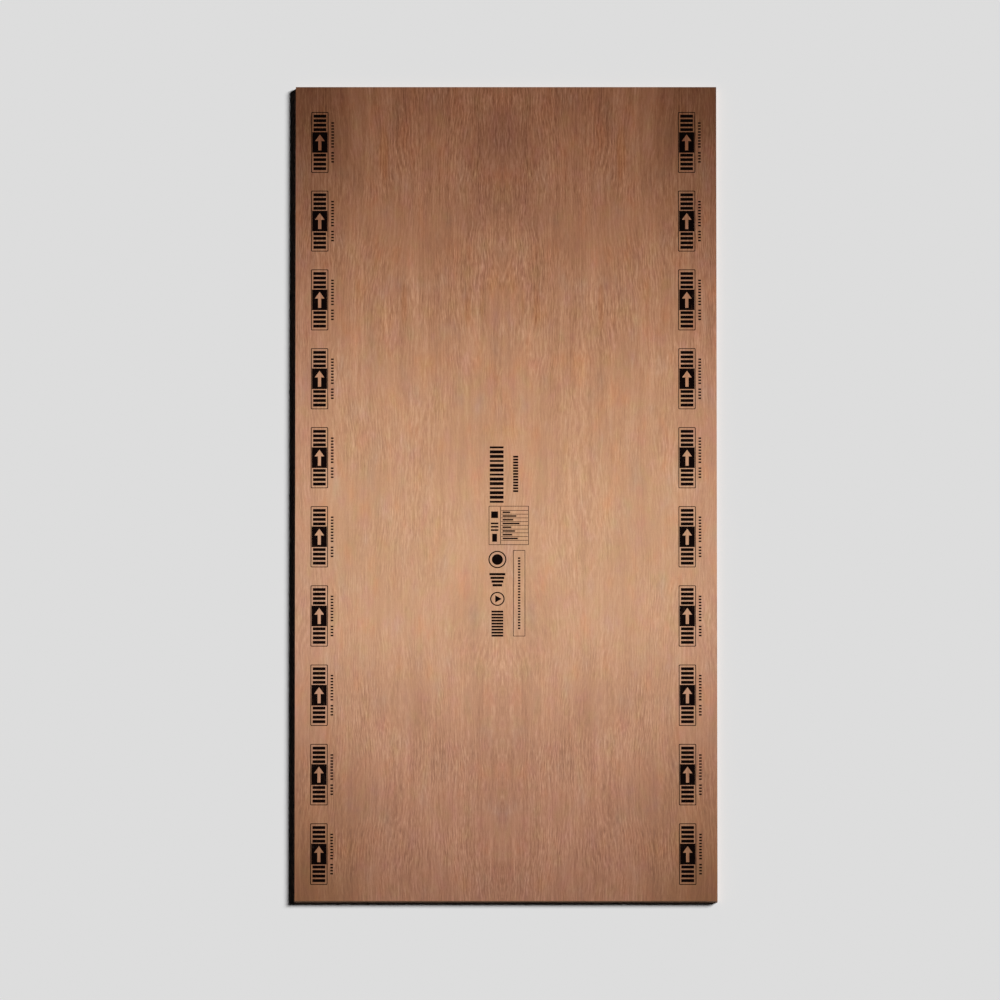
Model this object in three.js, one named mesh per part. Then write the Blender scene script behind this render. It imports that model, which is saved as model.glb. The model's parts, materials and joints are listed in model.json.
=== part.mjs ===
// One full sheet of plywood, lying flat. Millimetres, +Z up, face grain along Y.
// The origin is the middle of the underside.

import * as THREE from 'three';

// Driving dimensions
const sheetLength = 2440; // along the face grain, Y
const sheetWidth = 1220; // across the face grain, X
const sheetThickness = 18; // Z
const arrisEase = 0.4; // what sanding takes off the sharp edge between a face and a sawn side
const faceCornerRadius = 0.8; // the corners of the flat faces, dulled by trimming and handling

// Fineness of the small curves
const cornerSteps = 4; // straight runs round one corner
const arrisSteps = 2; // straight runs over one eased arris

// Finish: a sanded, unsealed hardwood face veneer
const woodColour = '#c89a7a';
const woodRoughness = 0.65;

// The outline of a flat face, seen from above: a rectangle with quarter-round corners.
// It runs anticlockwise from the corner at +X, +Y.
function faceOutline(width, length, radius) {
  const points = [];
  for (const [corner, [sideX, sideY]] of [[1, 1], [-1, 1], [-1, -1], [1, -1]].entries()) {
    const centreX = sideX * (width / 2 - radius);
    const centreY = sideY * (length / 2 - radius);
    for (let step = 0; step <= cornerSteps; step++) {
      const angle = (corner + step / cornerSteps) * Math.PI / 2;
      const x = centreX + radius * Math.cos(angle);
      const y = centreY + radius * Math.sin(angle);
      points.push(new THREE.Vector2(x, y));
    }
  }
  return new THREE.Shape(points);
}

// The panel: each flat face stops short of the trimmed size by the eased arris, and the bevel
// carries the outline out to the sawn sides, which stand square between the two faces.
function pressedPanel() {
  const faceWidth = sheetWidth - 2 * arrisEase;
  const faceLength = sheetLength - 2 * arrisEase;
  return new THREE.ExtrudeGeometry(faceOutline(faceWidth, faceLength, faceCornerRadius), {
    depth: sheetThickness - 2 * arrisEase,
    steps: 1,
    bevelEnabled: true,
    bevelThickness: arrisEase,
    bevelSize: arrisEase,
    bevelSegments: arrisSteps,
  });
}

function plywoodSheet() {
  const wood = new THREE.MeshStandardMaterial({
    color: woodColour,
    roughness: woodRoughness,
    metalness: 0,
  });
  const sheet = new THREE.Mesh(pressedPanel(), wood);
  sheet.name = 'plywood_sheet';
  sheet.position.z = arrisEase; // the lower arris brings the underside down to z = 0
  return sheet;
}

const part = new THREE.Group();
part.add(plywoodSheet());

export default part;
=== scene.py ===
# One full sheet of hardwood-faced plywood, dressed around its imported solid.
# Metres: X runs across the sheet, Y along the face grain, Z up. The sheet lies on the floor at z = 0.

import json
import math

import bpy
import numpy as np
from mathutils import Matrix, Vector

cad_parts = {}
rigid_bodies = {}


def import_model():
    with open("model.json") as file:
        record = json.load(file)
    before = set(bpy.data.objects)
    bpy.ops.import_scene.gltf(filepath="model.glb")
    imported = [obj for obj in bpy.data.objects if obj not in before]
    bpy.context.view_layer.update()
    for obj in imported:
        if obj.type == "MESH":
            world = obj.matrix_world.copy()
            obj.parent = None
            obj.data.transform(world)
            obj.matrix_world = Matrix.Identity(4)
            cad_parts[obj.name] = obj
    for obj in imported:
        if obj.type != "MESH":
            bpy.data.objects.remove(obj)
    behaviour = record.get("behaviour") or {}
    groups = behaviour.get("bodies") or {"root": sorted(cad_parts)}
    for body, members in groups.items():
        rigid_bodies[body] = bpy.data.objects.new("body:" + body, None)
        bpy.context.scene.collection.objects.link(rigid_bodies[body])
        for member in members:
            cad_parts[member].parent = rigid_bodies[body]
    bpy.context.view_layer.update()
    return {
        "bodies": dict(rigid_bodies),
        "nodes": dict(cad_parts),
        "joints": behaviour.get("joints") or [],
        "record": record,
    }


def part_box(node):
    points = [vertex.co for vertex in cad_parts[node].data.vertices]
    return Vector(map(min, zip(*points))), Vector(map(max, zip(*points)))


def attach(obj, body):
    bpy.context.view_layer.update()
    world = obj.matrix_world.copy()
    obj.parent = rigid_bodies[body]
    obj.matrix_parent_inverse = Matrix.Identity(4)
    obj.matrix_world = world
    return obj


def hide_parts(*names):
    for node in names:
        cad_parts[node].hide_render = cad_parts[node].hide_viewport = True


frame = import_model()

sheetLow, sheetHigh = (np.array(corner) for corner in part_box("plywood_sheet"))
halfWidth, halfLength = sheetHigh[:2]  # the sheet lies centred on the origin

# How the sheet is laid up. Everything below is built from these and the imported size.
layUp = {
    "plies": 13,  # two face veneers and eleven core plies
    "veneer": 0.0005,  # a face veneer after sanding
    "inkFilm": 0.00015,  # how far the stamped ink stands above the wood
    "arrisEase": 0.0004,  # rounding that sanding leaves between a face and a sawn side
    "arrisPoints": 4,
    "cornerRadius": 0.0012,  # the upright corners, seen from above
}
faceLevel = sheetHigh[2] - layUp["inkFilm"]
coreLow = sheetLow[2] + layUp["veneer"]
coreHigh = faceLevel - layUp["veneer"]
coreHeight = coreHigh - coreLow
corePlies = layUp["plies"] - 2
plyPitch = coreHeight / corePlies
millimetres = 1000.0  # to a metre

# Where things lie on the maps that the finish is baked through, as shares of a map's side. A plate shows
# one face large and keeps the rest in thin rows. The band of plies is cut into rows.
bakeLayout = {
    "rowLength": 0.97,
    "shownFace": (0.04, 1.0),  # lowest and highest level
    "hiddenFace": (0.0, 0.01),
    "plateSides": (0.012, 0.004),  # level of the first row, height of each
    "plyRows": 12,
    "plyRowsTop": 0.98,
    "plyRowFill": 0.93,  # share of a row that the plies fill
    "plyBack": (0.982, 0.005, 0.006),  # level of the first row, height of each, way to the next
}


class Wire:
    # One output of a node. Sums, products and comparisons of wires add Math nodes to the same tree.
    def __init__(self, shader, socket):
        self.shader = shader
        self.socket = socket

    def __add__(self, other):
        return self.shader.maths("ADD", self, other)

    def __sub__(self, other):
        return self.shader.maths("SUBTRACT", self, other)

    def __rsub__(self, other):
        return self.shader.maths("SUBTRACT", other, self)

    def __mul__(self, other):
        return self.shader.maths("MULTIPLY", self, other)

    def __truediv__(self, other):
        return self.shader.maths("DIVIDE", self, other)

    def __lt__(self, other):
        return self.shader.maths("LESS_THAN", self, other)

    def __abs__(self):
        return self.shader.maths("ABSOLUTE", self)

    __radd__ = __add__
    __rmul__ = __mul__


class Shader:
    # A material's node tree, built one node at a time.
    def __init__(self, name):
        self.material = bpy.data.materials.new(name)
        self.material.use_nodes = True
        self.tree = self.material.node_tree
        self.tree.nodes.clear()

    # Any node: its type, its settings, which are set first, then the values or wires of its sockets.
    def node(self, kind, settings=None, sockets=None):
        made = self.tree.nodes.new("ShaderNode" + kind)
        for key, value in (settings or {}).items():
            if key == "stops":
                self.fillRamp(made.color_ramp, value)
            else:
                setattr(made, key, value)
        for key, value in (sockets or {}).items():
            if isinstance(value, Wire):
                self.tree.links.new(value.socket, made.inputs[key])
            else:
                made.inputs[key].default_value = value
        return made

    # Sets a colour ramp's stops, each a place and a colour.
    def fillRamp(self, ramp, stops):
        while len(ramp.elements) < len(stops):
            ramp.elements.new(1.0)
        for element, (place, colour) in zip(ramp.elements, stops):
            element.position = place
            element.color = (*colour, 1.0)

    # A node's output as a wire.
    def wire(self, node, output=0):
        return Wire(self, node.outputs[output])

    # One Math node on the given values or wires.
    def maths(self, operation, *values):
        return self.wire(self.node("Math", {"operation": operation}, dict(enumerate(values))))

    # How far a value has gone from low to high, from 0 to 1, with soft ends.
    def ramp(self, value, low, high):
        settings = {"interpolation_type": "SMOOTHSTEP"}
        sockets = {"Value": value, "From Min": low, "From Max": high}
        return self.wire(self.node("MapRange", settings, sockets))

    # Three values or wires as one vector.
    def vector(self, x, y, z):
        return self.wire(self.node("CombineXYZ", {}, {"X": x, "Y": y, "Z": z}))

    # Noise around 0, about a quarter each way.
    def noise(self, vector, detail=2.0, roughness=0.5):
        sockets = {"Vector": vector, "Scale": 1.0, "Detail": detail, "Roughness": roughness}
        return self.wire(self.node("TexNoise", {"noise_dimensions": "3D"}, sockets), "Fac") - 0.5

    # A steady random value for each whole number.
    def lottery(self, value):
        return self.wire(self.node("TexWhiteNoise", {"noise_dimensions": "1D"}, {"W": value}), "Value")

    # Goes from the first colour to the second while the factor goes from 0 to 1.
    def mix(self, factor, first, second, blend="MIX"):
        settings = {"data_type": "RGBA", "blend_type": blend}
        first = first if isinstance(first, Wire) else (*first, 1.0)
        second = second if isinstance(second, Wire) else (*second, 1.0)
        return self.wire(self.node("Mix", settings, {0: factor, 6: first, 7: second}), 2)

    # A colour multiplied by a tone, as far as the factor says.
    def toned(self, factor, colour, tone):
        return self.mix(factor, colour, tone, "MULTIPLY")

    # Object coordinates as three wires.
    def place(self):
        coordinates = self.wire(self.node("TexCoord"), "Object")
        split = self.node("SeparateXYZ", {}, {0: coordinates})
        return [self.wire(split, axis) for axis in range(3)]

    # The surface itself. A height, times its depth in metres, is its relief.
    def finish(self, colour, roughness, specular, height=None, depth=0.0):
        sockets = {"Base Color": colour, "Roughness": roughness, "Specular IOR Level": specular}
        if height is not None:
            bump = self.node("Bump", {}, {"Strength": 1.0, "Distance": depth, "Height": height})
            sockets["Normal"] = self.wire(bump)
        surface = self.node("BsdfPrincipled", {}, sockets)
        self.node("OutputMaterial", {}, {"Surface": self.wire(surface)})
        return self.material


# The grid lines of a face along one axis: one at the start of each rounded corner, the rest evenly between.
def gridLines(half, cell):
    flat = half - layUp["cornerRadius"]
    count = 2 * int(round(flat / cell))
    return np.concatenate(([-half], np.linspace(-flat, flat, count + 1), [half]))


# A face grid drawn in by an inset. Its outermost lines move in, and each corner point is pulled along
# the diagonal onto the middle of the corner's arc.
def faceGrid(linesX, linesY, inset):
    x = np.clip(linesX, -halfWidth + inset, halfWidth - inset)
    y = np.clip(linesY, -halfLength + inset, halfLength - inset)
    gridX, gridY = np.meshgrid(x, y, indexing="ij")
    atCorner = (np.abs(gridX) >= halfWidth - inset) & (np.abs(gridY) >= halfLength - inset)
    pull = atCorner * (layUp["cornerRadius"] - inset) * (1 - math.sqrt(0.5))
    return np.stack((gridX - np.sign(gridX) * pull, gridY - np.sign(gridY) * pull), axis=-1)


# The places of a grid's border points in its flat list, anticlockwise from the corner at -X, -Y.
def borderPlaces(countX, countY):
    place = np.arange(countX * countY).reshape(countX, countY)
    return np.concatenate((place[:-1, 0], place[-1, :-1], place[:0:-1, -1], place[0, :0:-1]))


# Quads between two closed loops of places, the second one lying above or inside the first.
def bandQuads(first, second):
    return np.stack((first, np.roll(first, -1), np.roll(second, -1), second), axis=1)


# Where the corners of such a band lie on its map, between the levels low and high. The band is cut into
# equal rows, which lie a rise apart.
def bandMap(count, low, high, rows=1, rise=0.0):
    start = np.arange(count) * rows / count
    row = np.floor(start)
    end = start + rows / count
    along = (np.stack((start, end, end, start), axis=1) - row[:, None]) * bakeLayout["rowLength"]
    level = np.tile((low, low, high, high), (count, 1)) + row[:, None] * rise
    return np.stack((along, level), axis=-1)


# Where the corners of a flat face lie on its map: stretched over the map's width and between two levels.
def flatMap(corners, low, high):
    least, most = corners.min(axis=(0, 1)), corners.max(axis=(0, 1))
    return (corners - least) / (most - least) * (1.0, high - low) + (0.0, low)


# A closed plate: a grid for each face, joined by its sides. The sides follow a profile of
# (inset, height) pairs from the lower face to the upper one. The shown face gets most of the map.
def plateSurface(linesX, linesY, profile, shownFace):
    countX, countY = len(linesX), len(linesY)
    border = borderPlaces(countX, countY)
    insets, heights = zip(*profile)
    layers = [faceGrid(linesX, linesY, inset).reshape(-1, 2) for inset in insets]
    flats = [layers[0]] + [layer[border] for layer in layers[1:-1]] + [layers[-1]]
    points = np.concatenate([np.column_stack((flat, np.full(len(flat), height)))
                             for flat, height in zip(flats, heights)])
    starts = np.cumsum([0] + [len(flat) for flat in flats[:-1]])
    loops = [border] + [start + np.arange(len(border)) for start in starts[1:-1]] + [starts[-1] + border]
    place = np.arange(countX * countY).reshape(countX, countY)
    cells = np.stack((place[:-1, :-1], place[1:, :-1], place[1:, 1:], place[:-1, 1:]), axis=-1)
    lower = cells.reshape(-1, 4)[:, ::-1]
    upper = cells.reshape(-1, 4) + starts[-1]
    sides = [bandQuads(first, second) for first, second in zip(loops, loops[1:])]
    lowerLevels, upperLevels = bakeLayout["hiddenFace"], bakeLayout["shownFace"]
    if shownFace == "lower":
        lowerLevels, upperLevels = upperLevels, lowerLevels
    firstLevel, rowHeight = bakeLayout["plateSides"]
    levels = firstLevel + rowHeight * np.arange(len(sides) + 1)
    maps = [flatMap(points[lower][..., :2], *lowerLevels)]
    maps += [bandMap(len(border), low, high) for low, high in zip(levels, levels[1:])]
    maps.append(flatMap(points[upper][..., :2], *upperLevels))
    return points, np.concatenate([lower, *sides, upper]).tolist(), np.concatenate(maps)


# Adds a mesh to the scene as a piece of the sheet. Its map is only for baking its finish.
def addPiece(name, material, points, faces, bakeMap=None):
    mesh = bpy.data.meshes.new(name)
    mesh.from_pydata(points.tolist(), [], faces)
    if bakeMap is not None:
        mesh.uv_layers.new(name="OFBake").uv.foreach_set("vector", bakeMap.ravel())
    mesh.update()
    mesh.materials.append(material)
    piece = bpy.data.objects.new(name, mesh)
    bpy.context.scene.collection.objects.link(piece)
    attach(piece, "root")
    return piece


veneer = {
    "cell": 0.03,  # grid cell of a veneer's surface
    "seam": -0.0103,  # where the two leaves of a face meet, a little off the middle
    "seamWidth": 0.002,  # half the width over which the mirrored figure turns round there
    "dark": (0.225, 0.101, 0.048),
    "base": (0.530, 0.291, 0.162),
    "light": (0.835, 0.530, 0.335),
    "pore": (0.21, 0.095, 0.05),
    "ruddy": (1.08, 0.96, 0.87),  # hues of the patches, as shares of the wood's own
    "ashen": (0.94, 1.03, 1.14),
    "lilac": (1.00, 0.95, 1.05),
    "olive": (0.98, 1.04, 0.95),
    "farEndShade": (0.99, 0.69, 0.61),  # painted shade: the wood grows darker and redder towards its two ends
    "nearEndShade": (0.89, 0.72, 0.72),
    "side": (0.975, 0.94, 0.99),  # painted shade: a touch darker and redder along its long sides
    "farCornerShade": (0.55, 0.52, 0.44),  # and painted shade, darker at the corners
    "nearCornerShade": (0.70, 0.665, 0.47),
    "smudge": (0.72, 0.68, 0.72),
    "stain": (0.86, 0.72, 0.56),
    # Where that painted shade sets in, and where it would be full: metres from the middle, or from the edge.
    "farReach": (-0.45, 1.76),
    "nearReach": (0.045, 1.23),
    "sideReach": 0.13,
    "cornerReach": (0.32, 0.74),  # across and along
    # The figure is noise, squeezed across the grain. Each layer: cells to a metre across and along, seed,
    # octaves, roughness, and how far the two leaves differ in it.
    "layers": {
        "flow": (5.0, 1.5, 29.0, 1.0, 0.5, 0.3),
        "flutter": (30.0, 9.0, 31.0, 2.0, 0.5, 0.3),
        "liveliness": (6.0, 4.5, 47.0, 2.0, 0.5, 0.3),
        "fine": (320.0, 30.0, 11.0, 2.0, 0.6, 1.0),
        "ticks": (430.0, 60.0, 91.0, 1.0, 0.5, 1.0),
        "fibre": (1500.0, 55.0, 101.0, 2.0, 0.5, 0.3),
        "long": (150.0, 7.0, 17.0, 2.0, 0.5, 0.8),
        "bands": (85.0, 4.0, 23.0, 2.0, 0.5, 0.5),
        "broad": (22.0, 1.6, 37.0, 2.0, 0.5, 0.3),
        "blotch": (9.0, 3.6, 41.0, 3.0, 0.5, 0.3),
        "warmth": (20.0, 9.0, 61.0, 2.0, 0.5, 0.3),
        "hue": (24.0, 14.0, 83.0, 2.0, 0.5, 0.3),
        "pores": (850.0, 30.0, 53.0, 1.0, 0.5, 0.3),
        "flecks": (700.0, 26.0, 59.0, 1.0, 0.5, 0.3),
        "pits": (2600.0, 130.0, 97.0, 1.0, 0.5, 0.3),
        "fray": (60.0, 8.0, 71.0, 2.0, 0.5, 0.3),
        "rag": (14.0, 5.0, 77.0, 2.0, 0.5, 0.3),
    },
    "drift": (5.0, 2.0, 0.02),  # noise that bends the grain: cells to a metre, and how far it goes
    # The leaves differ by the last value about the first place along the sheet, less beyond the second
    # length from it, and not at all beyond the third.
    "apart": (0.1, 0.25, 0.75, 0.45),
    "rings": (98.0, 16.0, 3.4),  # growth rings to a metre, and how far flow and flutter carry them
    "ringMean": 0.33,
    # How much the layers add to the wood's tone. The first group comes and goes with the liveliness.
    "patchy": {"fine": 0.90, "ticks": 0.40, "rings": 0.20},
    "even": {"fibre": 0.30, "long": 0.42, "bands": 0.42, "broad": 0.40, "blotch": 0.50},
    # From where to where in its layer the liveliness rises, its least value, and what is added to that.
    "lively": (-0.20, 0.24, 0.40, 1.20),
    "contrast": (0.65, 1.60, 1.06),  # in the middle, and what the far and the near end add
    "hueGains": (1.1, 0.25, 1.5),  # of warmth, of what the fine layer takes from it, and of hue
    "hueFull": 0.4,  # where a hue is full
    # From where to where in their layer the small specks come up, and their strength.
    "specks": {"pores": (0.10, 0.24, 0.18), "flecks": (0.10, 0.24, 0.26), "pits": (0.12, 0.22, 0.35)},
    "poreContrast": 0.5,  # how far the pores follow the contrast
    "frayed": (1.3, 2.4),  # how far the outlines of the larger marks stray, across and along
    "markEdge": 2.0,  # where a mark has faded, as a square of half sizes
    # Larger marks in the wood: place across from the seam and along, half sizes, strength. Each shows
    # in both leaves, which were cut one after the other from the same log.
    "smudges": [
        (0.00, 1.03, 0.090, 0.12, 0.64),
        (0.06, 0.87, 0.070, 0.09, 0.42),
        (0.00, 0.80, 0.035, 0.05, 0.25),
        (0.19, 0.96, 0.040, 0.10, 0.15),
        (0.11, -0.80, 0.030, 0.06, 0.24),
        (0.00, -0.72, 0.045, 0.10, 0.20),
        (0.00, -0.92, 0.030, 0.07, 0.24),
        (0.36, -0.86, 0.016, 0.05, 0.16),
    ],
    "stains": [
        (0.345, 1.02, 0.013, 0.080, 0.75),
        (0.26, 1.00, 0.008, 0.060, 0.35),
        (0.10, 0.55, 0.008, 0.060, 0.60),
        (0.060, 0.57, 0.007, 0.050, 0.40),
        (0.285, 0.56, 0.008, 0.070, 0.55),
        (0.42, 0.60, 0.007, 0.080, 0.35),
    ],
    "roughness": 0.62,
    "fineRoughness": 0.2,  # what the fine layer adds to it
    "poreSheen": 0.1,  # what a pore takes from it
    "specular": 0.25,
    "relief": 0.00010,  # metres for a height of 1, counted in the fine layer's values
    "poreDepth": 0.4,  # heights that pores and pits take from them
    "pitDepth": 0.5,
}


# The back is duller and has fewer marks.
backFace = {
    **veneer,
    "base": (0.470, 0.275, 0.165),
    "light": (0.72, 0.48, 0.32),
    # Milder painted shade towards its ends and corners.
    "farEndShade": (0.97, 0.86, 0.80),
    "nearEndShade": (0.95, 0.88, 0.85),
    "farCornerShade": (0.80, 0.75, 0.70),
    "nearCornerShade": (0.84, 0.80, 0.76),
    "smudges": [(0.21, 0.42, 0.030, 0.10, 0.35), (0.37, -0.20, 0.045, 0.16, 0.30)],
    "stains": [(0.12, -0.66, 0.010, 0.09, 0.60), (0.47, 0.80, 0.008, 0.12, 0.50)],
}


# The layers of a leaf's figure: noise on coordinates that are squeezed across the grain. They are measured
# from the seam, which mirrors them. The distance from the seam comes first.
def figureLayers(shader, x, y, seed, sizes):
    fromSeam = x - sizes["seam"]
    leaf = shader.maths("SQRT", fromSeam * fromSeam + sizes["seamWidth"] ** 2)
    acrossCells, alongCells, reach = sizes["drift"]
    bend = shader.noise(shader.vector(leaf * acrossCells, y * alongCells, seed), 1.0)
    across = leaf + bend * reach
    # The leaves match closely near both ends. In between they were cut further apart in the log.
    middle, start, end, most = sizes["apart"]
    apart = (1.0 - shader.ramp(abs(y - middle), start, end)) * shader.maths("SIGN", fromSeam) * most
    layers = {}
    for layer, settings in sizes["layers"].items():
        acrossCells, alongCells, layerSeed, octaves, roughness, differing = settings
        depth = apart * differing + (seed + layerSeed)
        vector = shader.vector(across * acrossCells, y * alongCells, depth)
        layers[layer] = shader.noise(vector, octaves, roughness)
    # Growth rings are the contours of a slow field, which run as long lines and close into arcs where it
    # levels out.
    perMetre, flow, flutter = sizes["rings"]
    field = across * perMetre + layers["flow"] * flow + layers["flutter"] * flutter
    ring = shader.maths("PINGPONG", field, 0.5) * 2.0
    layers["rings"] = ring * ring - sizes["ringMean"]
    return leaf, layers


# Plain figured wood: a colour ramp read at the weighted sum of the layers, then tinted in patches.
def figuredWood(shader, layers, lively, contrast, sizes):
    patchy, even = (sum(layers[layer] * weight for layer, weight in sizes[group].items())
                    for group in ("patchy", "even"))
    tone = (patchy * lively + even) * contrast
    stops = [(0.0, sizes["dark"]), (0.5, sizes["base"]), (1.0, sizes["light"])]
    wood = shader.wire(shader.node("ValToRGB", {"stops": stops}, {"Fac": tone * 0.5 + 0.5}))
    warmGain, cooling, hueGain = sizes["hueGains"]
    warmth = layers["warmth"] * warmGain - layers["fine"] * cooling
    hue = layers["hue"] * hueGain
    for value, tint in ((warmth, "ruddy"), (warmth * -1.0, "ashen"), (hue, "lilac"), (hue * -1.0, "olive")):
        wood = shader.toned(shader.ramp(value, 0.0, sizes["hueFull"]), wood, sizes[tint])
    return wood


# The darkest of several soft ovals, frayed along the grain. Each fades with the sum of the squares of its
# two distances, counted in its half sizes.
def woodMarks(shader, leaf, y, layers, kind, sizes):
    darkest = None
    for middle, along, wide, long, strength in sizes[kind]:
        sideways = (leaf - middle) / wide + layers["fray"] * sizes["frayed"][0]
        lengthwise = (y - along) / long + layers["rag"] * sizes["frayed"][1]
        distance = sideways * sideways + lengthwise * lengthwise
        mark = (1.0 - shader.ramp(distance, 0.0, sizes["markEdge"])) * strength
        darkest = mark if darkest is None else shader.maths("MAXIMUM", darkest, mark)
    return darkest


# Painted shade: a little darker and redder along the long sides, and darker within a quarter oval round each
# corner.
def paintedEdgeShade(shader, x, y, wood, sizes):
    fromSide, fromEnd = halfWidth - abs(x), halfLength - abs(y)
    wood = shader.toned(1.0 - shader.ramp(fromSide, 0.0, sizes["sideReach"]), wood, sizes["side"])
    sideways, endways = fromSide / sizes["cornerReach"][0], fromEnd / sizes["cornerReach"][1]
    fromCorner = shader.maths("SQRT", sideways * sideways + endways * endways)
    cornerShade = 1.0 - shader.ramp(fromCorner, 0.0, 1.0)
    nearHalf = y < 0.0
    wood = shader.toned(cornerShade * (1.0 - nearHalf), wood, sizes["farCornerShade"])
    return shader.toned(cornerShade * nearHalf, wood, sizes["nearCornerShade"])


# The finish of a rotary-cut hardwood leaf: its figure, its specks, its larger marks, then painted shade that
# darkens it towards both ends and at the edges. The fine figure, the pores and the pits also stand in
# relief.
def veneerMaterial(name, seed, sizes):
    shader = Shader(name)
    x, y = shader.place()[:2]
    leaf, layers = figureLayers(shader, x, y, seed, sizes)
    # How far towards each end: this sets the painted shade there and the figure's contrast.
    farTone = shader.ramp(y, *sizes["farReach"])
    nearTone = shader.ramp(y * -1.0, *sizes["nearReach"])
    plain, far, near = sizes["contrast"]
    contrast = farTone * far + nearTone * near + plain
    low, high, least, added = sizes["lively"]
    lively = shader.ramp(layers["liveliness"], low, high) * added + least
    wood = figuredWood(shader, layers, lively, contrast, sizes)

    # How far a kind of speck has come up, and its strength.
    def specks(kind):
        low, high, strength = sizes["specks"][kind]
        return shader.ramp(layers[kind], low, high), strength

    pores, poreStrength = specks("pores")
    flecks, fleckStrength = specks("flecks")
    pits, pitStrength = specks("pits")
    pores = pores * (contrast * sizes["poreContrast"] + (1.0 - sizes["poreContrast"]))
    wood = shader.mix(pores * lively * poreStrength, wood, sizes["pore"])
    wood = shader.mix(flecks * lively * fleckStrength, wood, sizes["light"])
    wood = shader.mix(pits * pitStrength, wood, sizes["pore"])
    for kind, tone in (("smudges", "smudge"), ("stains", "stain")):
        marks = woodMarks(shader, leaf, y, layers, kind, sizes)
        wood = shader.toned(marks, wood, sizes[tone])
    # Painted shade: darker and redder towards both ends.
    wood = shader.toned(farTone, wood, sizes["farEndShade"])
    wood = shader.toned(nearTone, wood, sizes["nearEndShade"])
    # Painted shade along the long sides and at the corners.
    wood = paintedEdgeShade(shader, x, y, wood, sizes)
    roughness = layers["fine"] * sizes["fineRoughness"] - pores * sizes["poreSheen"] + sizes["roughness"]
    height = layers["fine"] - pores * sizes["poreDepth"] - pits * sizes["pitDepth"]
    return shader.finish(wood, roughness, sizes["specular"], height, sizes["relief"])


# The sides of a veneer: square where it meets the core, and eased by a quarter round at its face.
def veneerProfile(core, face):
    turns = np.linspace(0.0, math.pi / 2, layUp["arrisPoints"])
    way = math.copysign(layUp["arrisEase"], face - core)
    eased = [(layUp["arrisEase"] * (1 - math.cos(angle)), face - way * (1 - math.sin(angle)))
             for angle in turns]
    return [(0.0, core)] + eased


linesX, linesY = (gridLines(half, veneer["cell"]) for half in (halfWidth, halfLength))
seamLine = len(linesX) // 2
linesX[seamLine] = veneer["seam"]  # the leaves' meshes meet at the seam too
topMaterial = veneerMaterial("face veneer", 0.0, veneer)
backMaterial = veneerMaterial("back veneer", 70.0, backFace)
topProfile = veneerProfile(coreHigh, faceLevel)
backProfile = veneerProfile(coreLow, sheetLow[2])[::-1]
leftSurface = plateSurface(linesX[:seamLine + 1], linesY, topProfile, "upper")
rightSurface = plateSurface(linesX[seamLine:], linesY, topProfile, "upper")
backSurface = plateSurface(linesX, linesY, backProfile, "lower")
leftLeaf = addPiece("face_leaf_left", topMaterial, *leftSurface)
rightLeaf = addPiece("face_leaf_right", topMaterial, *rightSurface)
backVeneer = addPiece("back_veneer", backMaterial, *backSurface)
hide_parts("plywood_sheet")
print("veneers laid:", len(leftLeaf.data.polygons), "faces in each face leaf")


edges = {
    "step": 0.008,  # spacing of points along the sides
    "depth": 0.010,  # how deep the band of sawn plies reaches into the sheet
    "glueDepth": 0.00010,  # a glue line stands back this far between two plies
    "glueHeight": 0.00012,
    "wander": 0.00003,  # how far a ply's edge wanders behind the saw's plane
    "waves": (4, 3, 40),  # how many waves make that up, and from and to how many turns each has
    "seed": 13,
    "long": (0.50, 0.31, 0.19),  # plies that show their long grain
    "end": (0.24, 0.125, 0.07),  # plies that show their end grain
    "glue": (0.05, 0.022, 0.014),
    "browned": (0.55, 0.44, 0.36),  # the deepest tone of a strip or ply, as a share of its own
    "longTones": (0.7, 1.2),  # the darkest and lightest long grain, as shares of its colour
    "endTones": (0.5, 1.5),
    # Noise: cells to a metre along the side and up it, the step from ply to ply, octaves.
    "longGrain": (40.0, 4000.0, 7.0, 3.0),
    "endGrain": (1400.0, 1800.0, 3.0, 2.0),
    "grainRoughness": 0.6,
    "sawMarks": (700.0, 500.0, 70.0),  # cells to a metre along the side, on the slant and up it
    "sawRange": (0.02, 0.22),  # from where to where in their noise the marks come up
    "sawStrength": 0.4,
    "strips": 1.9,  # core strips to a metre
    "stripShift": 0.37,  # from one ply to the next, in strips
    "plyNumbers": (17.0, 3.7),  # steps from ply to ply in the strips' and in the plies' lotteries
    "brownedStrips": 0.45,  # how much the strips and the plies differ
    "brownedPlies": 0.2,
    "joint": (0.0008, 0.0026),  # half width of a joint between strips, full and fading, in strips
    "gaping": 0.35,  # share of the joints that stand open
    "closedJoint": 0.25,  # strength of the others
    "glueLine": (0.03, 0.08),  # half width of a glue line, full and fading, in plies
    "glueWobble": (60.0, 0.06),  # cells to a metre, and how far it wobbles, in plies
    "roughness": 0.8,
    "specular": 0.3,
    "relief": 0.0001,  # metres for a height of 1
    "heights": (0.6, 0.4, 0.6, 2.0),  # of the end grain, the long grain and the saw marks, less the joints'
}


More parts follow.
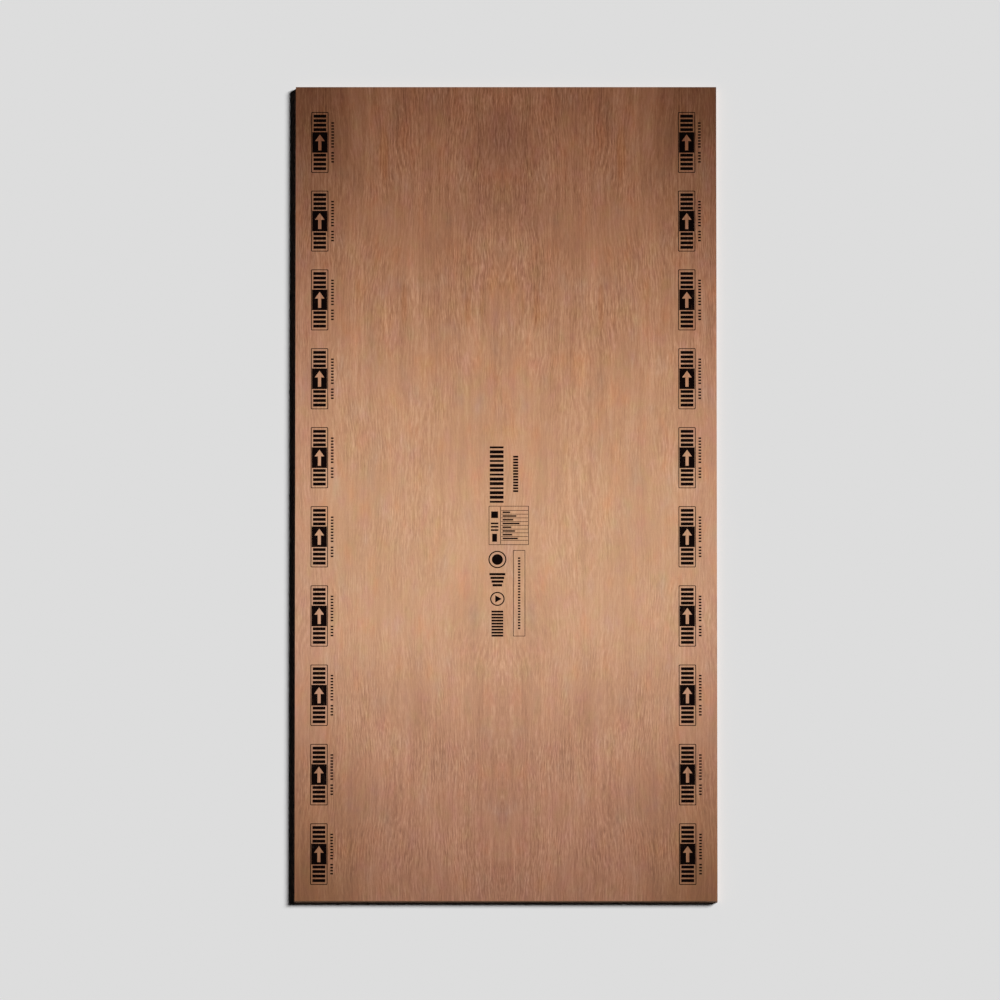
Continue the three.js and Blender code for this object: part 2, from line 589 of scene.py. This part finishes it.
# The sawn sides of the core plies, as a closed band: a profile of grooves and flats carried round the
# outline, with a plain wall behind it. A ply's edge wanders by the mean of several sine waves.
def plyBand(sizes):
    linesX, linesY = (gridLines(half, sizes["step"]) for half in (halfWidth, halfLength))
    border = borderPlaces(len(linesX), len(linesY))
    outline = faceGrid(linesX, linesY, 0.0).reshape(-1, 2)[border]
    ahead = np.roll(outline, -1, axis=0) - np.roll(outline, 1, axis=0)
    outward = np.column_stack((ahead[:, 1], -ahead[:, 0]))
    outward /= np.linalg.norm(outward, axis=1, keepdims=True)
    random = np.random.default_rng(sizes["seed"])
    waveCount, fewest, most = sizes["waves"]
    along = np.linspace(0.0, 2 * math.pi, len(border), endpoint=False)
    heights, insets = [coreLow], [np.zeros(len(border))]
    for ply in range(corePlies):
        low, high = coreLow + ply * plyPitch, coreLow + (ply + 1) * plyPitch
        turns = random.integers(fewest, most, waveCount)
        waves = sum(np.sin(turn * along + random.uniform(0, 6.28)) for turn in turns) / waveCount
        behind = sizes["wander"] * (1.0 + waves) * 0.5
        for height in (low + sizes["glueHeight"] / 2, high - sizes["glueHeight"] / 2):
            heights.append(height)
            insets.append(behind)
        heights.append(high)
        insets.append(np.full(len(border), sizes["glueDepth"] if ply < corePlies - 1 else 0.0))
    rings = [np.column_stack((outline - outward * inset[:, None], np.full(len(border), height)))
             for inset, height in zip(insets, heights)]
    shrink = 1 - sizes["depth"] / np.array([halfWidth, halfLength])
    for height in (coreHigh, coreLow):
        rings.append(np.column_stack((outline * shrink, np.full(len(border), height))))
    points = np.concatenate(rings)
    loops = np.arange(len(points)).reshape(len(rings), len(border))
    quads = [bandQuads(first, second) for first, second in zip(loops, np.roll(loops, -1, axis=0))]
    return points, np.concatenate(quads).tolist(), plyMap(len(border), np.array(heights))


# The band's map: its shown side in rows from the bottom up, then its three hidden sides in thin rows.
def plyMap(count, heights):
    rows = bakeLayout["plyRows"]
    rowPitch = bakeLayout["plyRowsTop"] / rows
    levels = (heights - coreLow) / coreHeight * bakeLayout["plyRowFill"] * rowPitch
    maps = [bandMap(count, low, high, rows, rowPitch) for low, high in zip(levels, levels[1:])]
    backLevel, backHeight, backPitch = bakeLayout["plyBack"]
    for level in backLevel + backPitch * np.arange(3):
        maps.append(bandMap(count, level, level + backHeight))
    return np.concatenate(maps)


# The sawn plies: long grain and end grain by turns, core strips of their own tones with joints between
# them, marks across them all from the saw, and a dark glue line between two plies.
def plyMaterial(sizes):
    shader = Shader("ply edges")
    x, y, z = shader.place()
    onSide = (halfWidth - abs(x)) < (halfLength - abs(y))
    along = x + (y - x) * onSide
    level = (z - coreLow) / plyPitch
    ply = shader.maths("FLOOR", level)
    crosswise = shader.maths("MODULO", ply + 1.0, 2.0)
    endGrain = onSide * crosswise + (1 - onSide) * (1 - crosswise)

    # Noise from 0 to 1, with another piece of it for each ply.
    def grain(alongCells, upCells, plyStep, octaves):
        vector = shader.vector(along * alongCells, z * upCells, ply * plyStep)
        return shader.noise(vector, octaves, sizes["grainRoughness"]) + 0.5

    # From a colour's darkest tone to its lightest while the value goes from 0 to 1.
    def wood(colour, tones, value):
        darkest, lightest = ([channel * tone for channel in colour] for tone in tones)
        return shader.mix(value, darkest, lightest)

    lengthwise = grain(*sizes["longGrain"])
    pores = grain(*sizes["endGrain"])
    longWood = wood(sizes["long"], sizes["longTones"], lengthwise)
    endWood = wood(sizes["end"], sizes["endTones"], pores)
    colour = shader.mix(endGrain, longWood, endWood)

    strip = along * sizes["strips"] + ply * sizes["stripShift"]
    stripStep, plyStep = sizes["plyNumbers"]
    number = shader.maths("FLOOR", strip) + ply * stripStep
    browned = shader.lottery(number) * sizes["brownedStrips"]
    browned = browned + shader.lottery(ply * plyStep) * sizes["brownedPlies"]
    colour = shader.toned(browned, colour, sizes["browned"])
    toJoint = 0.5 - abs(shader.maths("FRACT", strip) - 0.5)
    gaping = shader.lottery(number + 0.5) < sizes["gaping"]
    jointStrength = gaping * (1.0 - sizes["closedJoint"]) + sizes["closedJoint"]
    joint = (1.0 - shader.ramp(toJoint, *sizes["joint"])) * jointStrength
    colour = shader.mix(joint, colour, sizes["glue"])

    alongCells, slantCells, upCells = sizes["sawMarks"]
    saw = shader.noise(shader.vector(along * alongCells + z * slantCells, z * upCells, 3.0), 2.0)
    sawn = shader.ramp(saw, *sizes["sawRange"]) * sizes["sawStrength"]
    colour = shader.toned(sawn, colour, sizes["browned"])
    wobbleCells, wobbleReach = sizes["glueWobble"]
    wobble = shader.noise(shader.vector(along * wobbleCells, ply, 0.0), 2.0) * wobbleReach
    toGlue = abs(shader.maths("FRACT", level + 0.5 + wobble) - 0.5)
    colour = shader.mix(1 - shader.ramp(toGlue, *sizes["glueLine"]), colour, sizes["glue"])
    endHeight, longHeight, sawHeight, jointDepth = sizes["heights"]
    height = pores * endHeight + lengthwise * longHeight + saw * sawHeight - joint * jointDepth
    return shader.finish(colour, sizes["roughness"], sizes["specular"], height, sizes["relief"])


plyEdges = addPiece("ply_edges", plyMaterial(edges), *plyBand(edges))
print("ply edges sawn:", corePlies, "core plies,", len(plyEdges.data.polygons), "faces")


# Sizes in millimetres, in the stamp's own frame: first across the sheet, then along it.
stamps = {
    "columns": (-540.0, 524.0),  # middle of each column of stamps, across the sheet
    "rows": 10,
    "firstRow": 1053.0,  # middle of the first stamp, along the sheet
    "pitch": 237.0,
    "frame": (50.0, 183.0, 2.2, 3.0),  # width, length, line, corner radius
    "bar": (37.0, 9.0),
    "barPlaces": (-79.0, -65.5, -52.0, -38.5, 38.5, 52.0, 65.5, 79.0),
    "dash": (8.0, 4.6),
    "dashColumn": 37.0,
    "dashPlaces": [9.0 * i - 58.5 for i in range(14) if i != 4],
    "barRadius": 0.8,
    # An arrow along the grain left open in a solid block: each of its points and the block's next to it.
    "arrow": [(0, 24), (-7, 14), (-14, 4), (-4.5, 4), (-4.5, -24), (4.5, -24), (4.5, 4), (14, 4), (7, 14)],
    "block": [(0, 31), (-22, 31), (-22, 4), (-22, -4), (-22, -31), (22, -31), (22, -4), (22, 4), (22, 31)],
}

# The larger group in the middle, in millimetres from the middle of the sheet.
middleGroup = {
    # Columns of bars: middle of the first, way to the next, corner radius, and the size of each.
    "columns": [
        ((-27, 136), 13.6, 0.8, ([(40, 6.0)] + [(40, 9.5)] * 2) * 4 + [(40, 6.0)]),
        ((28, 108), 8.6, 0.8, [(15, 5.6)] * 13),
        ((25, -53), 11.2, 0.5, [(78, 1.5)] * 9),  # rules of the table
        ((-16, -98), 0.0, 0.5, [(1.6, 112)]),
        ((-33, -66), 0.0, 0.5, [(20, 20)]),
        ((-33, -92), 10.0, 0.5, [(22, 5)] * 3),
        ((-33, -135), 0.0, 0.5, [(14, 24)]),
        ((-25, -244), 11.0, 0.8, [(46, 7), (40, 7), (34, 7), (28, 7)]),
        ((-25, -356), 9.0, 0.8, [(34, 5.6)] * 9),
        ((38, -196), 8.4, 0.5, [(7, 4.6)] * 26),  # ticks in the long frame
    ],
    "entryStart": (-10, -58.6),  # left end of the table's first entry
    "entryPitch": 11.2,
    "entryHeight": 4.6,
    "entryRadius": 0.5,
    "entries": (22, 40, 31, 49, 25, 36, 28, 44),  # the entries' lengths
    # Frames: middle, width, length, line, corner radius.
    "frames": [((8, -98), 116, 117, 1.6, 2.0), ((38, -301), 35, 258, 1.6, 1.5)],
    "rings": [((-25, -200), 52, 45), ((-25, -318), 42, 35)],  # middle, outer and inner diameter
    "discs": [((-25, -200), 32, 36), ((-25, -318), 25, 3)],  # middle, diameter, corners
}

ink = {
    "sink": 0.05,  # how far the ink soaks into the veneer, in millimetres
    "colour": (0.0040, 0.0016, 0.0014),
    "thin": (0.09, 0.045, 0.028),  # where the grain has pulled it apart
    # Layers of noise: cells to a metre across and along, seed, octaves, roughness, weight.
    "layers": {
        "grain": (800.0, 45.0, 5.0, 2.0, 0.6, 1.0),
        "patches": (60.0, 30.0, 9.0, 2.0, 0.5, 0.6),
        "specks": (2200.0, 500.0, 3.0, 1.0, 0.5, 0.5),
    },
    "worn": (0.16, 0.36),  # from where to where in their weighted sum the ink thins out
    "wear": 0.85,
    "roughness": 0.9,
    "specular": 0.02,
}


# A rounded rectangle, anticlockwise: a quarter turn round the middle of each of its corners.
def barOutline(middle, size, radius, steps=3):
    angles = np.linspace(0.0, math.pi / 2, steps)
    turns = np.concatenate([angles + quarter * math.pi / 2 for quarter in range(4)])
    signs = np.repeat([(1, 1), (-1, 1), (-1, -1), (1, -1)], steps, axis=0)
    reach = np.array(size) / 2 - radius
    return np.array(middle) + signs * reach + radius * np.column_stack((np.cos(turns), np.sin(turns)))


# A circle, anticlockwise, or with few corners an even polygon.
def ringOutline(middle, diameter, corners=36):
    turns = np.linspace(0.0, 2 * math.pi, corners, endpoint=False)
    return np.array(middle) + diameter / 2 * np.column_stack((np.cos(turns), np.sin(turns)))


# One closed piece of ink. With one outline it is filled, and with two, the outer one first, it is the
# band between them, point for point. Its faces come in groups of like faces.
def inkPiece(outer, inner=None):
    flat = np.array(outer, float) if inner is None else np.concatenate((outer, inner)).astype(float)
    count, total = len(outer), len(flat)
    low = np.column_stack((flat, np.full(total, faceLevel * millimetres - ink["sink"])))
    high = np.column_stack((flat, np.full(total, sheetHigh[2] * millimetres)))
    outside = np.arange(count)
    groups = [bandQuads(outside, outside + total)]
    if inner is None:
        groups.append(np.stack((outside[::-1], outside + total)))
    else:
        inside = outside + count
        groups += [bandQuads(inside + total, inside), bandQuads(inside, outside)]
        groups.append(bandQuads(outside + total, inside + total))
    return np.concatenate((low, high)), groups


# Several pieces of ink as one mesh in metres, repeated at each of the given places.
def printed(pieces, places=((0.0, 0.0),)):
    points, faces = [], []
    start = 0
    for place in places:
        for piecePoints, groups in pieces:
            points.append(piecePoints + (*place, 0.0))
            for group in groups:
                faces += (group + start).tolist()
            start += len(piecePoints)
    return np.concatenate(points) / millimetres, faces


# A rounded rectangle's line: the band between its outline and the same one drawn in by the line, with its
# corner radius less by a share of the line.
def framePiece(middle, width, length, line, radius, share=0.6, steps=6):
    outer = barOutline(middle, (width, length), radius, steps)
    inner = barOutline(middle, (width - 2 * line, length - 2 * line), radius - line * share, steps)
    return inkPiece(outer, inner)


# One stamp of the side columns: a frame round bars and an arrow, and a column of dashes beside it.
def edgeStamp(sizes):
    bars = [((0, place), sizes["bar"]) for place in sizes["barPlaces"]]
    bars += [((sizes["dashColumn"], place), sizes["dash"]) for place in sizes["dashPlaces"]]
    pieces = [framePiece((0, 0), *sizes["frame"]), inkPiece(sizes["block"], sizes["arrow"])]
    return pieces + [inkPiece(barOutline(middle, size, sizes["barRadius"])) for middle, size in bars]


# The group in the middle: bars, a ruled table, two rings and a framed row of ticks.
def middleStamp(sizes):
    bars = [((across, along - pitch * i), size, radius)
            for (across, along), pitch, radius, column in sizes["columns"]
            for i, size in enumerate(column)]
    left, first = sizes["entryStart"]
    bars += [((left + length / 2, first - sizes["entryPitch"] * i), (length, sizes["entryHeight"]),
              sizes["entryRadius"]) for i, length in enumerate(sizes["entries"])]
    pieces = [inkPiece(barOutline(*bar)) for bar in bars]
    pieces += [framePiece(*frame) for frame in sizes["frames"]]
    pieces += [inkPiece(ringOutline(*disc)) for disc in sizes["discs"]]
    return pieces + [inkPiece(ringOutline(middle, outer), ringOutline(middle, inner))
                     for middle, outer, inner in sizes["rings"]]


# Black ink that has thinned out where the weighted sum of its layers of noise is high.
def inkMaterial(sizes):
    shader = Shader("stamp ink")
    x, y = shader.place()[:2]
    wearing = 0.0
    for acrossCells, alongCells, seed, octaves, roughness, weight in sizes["layers"].values():
        vector = shader.vector(x * acrossCells, y * alongCells, seed)
        wearing = shader.noise(vector, octaves, roughness) * weight + wearing
    worn = shader.ramp(wearing, *sizes["worn"])
    colour = shader.mix(worn * sizes["wear"], sizes["colour"], sizes["thin"])
    return shader.finish(colour, sizes["roughness"], sizes["specular"])


inkFinish = inkMaterial(ink)
rowPlaces = stamps["firstRow"] - stamps["pitch"] * np.arange(stamps["rows"])
stampPlaces = [(column, row) for column in stamps["columns"] for row in rowPlaces]
edgeMarks = addPiece("edge_marks", inkFinish, *printed(edgeStamp(stamps), stampPlaces))
middleMarks = addPiece("middle_marks", inkFinish, *printed(middleStamp(middleGroup)))
print("marks stamped:", len(stampPlaces), "at the sides and one group in the middle")


stage = {
    "floorReach": 150.0,
    "floorColour": (0.80, 0.80, 0.80),
    "floorRoughness": 0.9,
    "ambient": 0.003,  # the surroundings' strength where they light the sheet
    "backdrop": 0.74,  # and where they are seen
}

# The sun lights the floor, and the pale floor lights the upright sides.
sunLamp = {
    "height": 34.5,  # degrees above the floor
    "turn": 26.6,  # degrees from +X towards +Y
    "size": 21.0,  # degrees across, for a soft shadow
    "level": 0.9,  # share of a written colour that it gives on the floor
    "bounces": 1,
}

# A fill from the other side keeps the sawn sides readable and leaves the floor's shadow dark.
fillLamp = {
    "height": 25.0,
    "turn": 160.0,
    "size": 21.0,
    "level": 0.35,  # share of a written colour that it gives where it falls square on
    "bounces": 0,
}

# A strip of soft light across the middle of the sheet, whose face falls off towards both ends.
stripLamp = {
    "place": (0.0, -0.21, 1.57),
    "size": (3.2, 0.4),
    "power": 41.0,
    "bounces": 4,
}


# A plain square of floor under the sheet.
def addFloor(sizes):
    material = Shader("floor").finish((*sizes["floorColour"], 1.0), sizes["floorRoughness"], 0.0)
    corners = np.array([(-1, -1, 0), (1, -1, 0), (1, 1, 0), (-1, 1, 0)]) * sizes["floorReach"]
    mesh = bpy.data.meshes.new("floor")
    mesh.from_pydata((corners + (0, 0, sheetLow[2])).tolist(), [], [(0, 1, 2, 3)])
    mesh.materials.append(material)
    floor = bpy.data.objects.new("floor", mesh)
    bpy.context.scene.collection.objects.link(floor)
    return floor


# A lamp that lights only some of the objects. The rest still throw their shadows in it. Its light may go
# on from what it lights as often as bounces says.
def addLamp(name, kind, lit, bounces, settings):
    data = bpy.data.lights.new(name, kind)
    for key, value in settings.items():
        setattr(data, key, value)
    data.cycles.max_bounces = bounces
    lamp = bpy.data.objects.new(name, data)
    bpy.context.scene.collection.objects.link(lamp)
    lamp.visible_camera = False
    receivers = bpy.data.collections.new(name + " lights")
    for thing in lit:
        receivers.objects.link(thing)
    lamp.light_linking.receiver_collection = receivers
    return lamp


# A sun, tipped from straight above down to its height and then turned about the upright.
def addSun(name, lit, strength, sizes):
    settings = {"energy": strength, "angle": math.radians(sizes["size"])}
    sun = addLamp(name, "SUN", lit, sizes["bounces"], settings)
    sun.rotation_euler = (0.0, math.radians(90.0 - sizes["height"]), math.radians(sizes["turn"]))


# A soft rectangle of light that faces straight down.
def addStrip(name, lit, sizes):
    width, length = sizes["size"]
    settings = {"energy": sizes["power"], "shape": "RECTANGLE", "size": width, "size_y": length}
    addLamp(name, "AREA", lit, sizes["bounces"], settings).location = sizes["place"]


# The surroundings: dim where they light the sheet, pale where they are seen or mirrored.
def addWorld(sizes):
    world = bpy.data.worlds.new("studio")
    world.use_nodes = True
    tree = world.node_tree
    path = tree.nodes.new("ShaderNodeLightPath")
    seen = path.outputs["Is Camera Ray"]
    for ray in ("Is Glossy Ray", "Is Transmission Ray"):
        either = tree.nodes.new("ShaderNodeMath")
        either.operation = "MAXIMUM"
        tree.links.new(seen, either.inputs[0])
        tree.links.new(path.outputs[ray], either.inputs[1])
        seen = either.outputs[0]
    level = tree.nodes.new("ShaderNodeMapRange")
    level.inputs["To Min"].default_value = sizes["ambient"]
    level.inputs["To Max"].default_value = sizes["backdrop"]
    tree.links.new(seen, level.inputs["Value"])
    tree.links.new(level.outputs[0], tree.nodes["Background"].inputs["Strength"])
    tree.nodes["Background"].inputs["Color"].default_value = (1.0, 1.0, 1.0, 1.0)
    bpy.context.scene.world = world


floor = addFloor(stage)
# A sun lights a surface by its strength over pi, times the sine of its height above that surface.
sunStrength = sunLamp["level"] * math.pi / math.sin(math.radians(sunLamp["height"]))
addSun("sun", [floor, plyEdges, backVeneer], sunStrength, sunLamp)
addSun("fill", [plyEdges], fillLamp["level"] * math.pi, fillLamp)
addStrip("strip", [leftLeaf, rightLeaf, edgeMarks, middleMarks], stripLamp)
addWorld(stage)
print("studio lit: floor, two suns and a strip lamp")


lens = {
    "focal": 1200.0,  # millimetres; long, so that both ends of the sheet show at one scale
    "sensor": 36.0,
    "elevation": 74.85,  # degrees above the floor
    "pictureWidth": 2.893,  # metres across the picture at the sheet
    "aim": (-0.0174, -0.0218),
    "reach": 200.0,
}


# The camera stands back from its aim, on the near side: the picture's width times the focal length, over the
# sensor's width.
def addCamera(sizes):
    data = bpy.data.cameras.new("camera")
    data.lens = sizes["focal"]
    data.sensor_width = sizes["sensor"]
    data.clip_end = sizes["reach"]
    camera = bpy.data.objects.new("camera", data)
    bpy.context.scene.collection.objects.link(camera)
    distance = sizes["pictureWidth"] * sizes["focal"] / sizes["sensor"]
    angle = math.radians(sizes["elevation"])
    aim = np.array([*sizes["aim"], faceLevel])
    camera.location = aim + distance * np.array([0.0, -math.cos(angle), math.sin(angle)])
    camera.rotation_euler = (math.pi / 2 - angle, 0.0, 0.0)
    bpy.context.scene.camera = camera


addCamera(lens)
bpy.context.scene.view_settings.view_transform = "Standard"
print("camera set: sheet dressed")
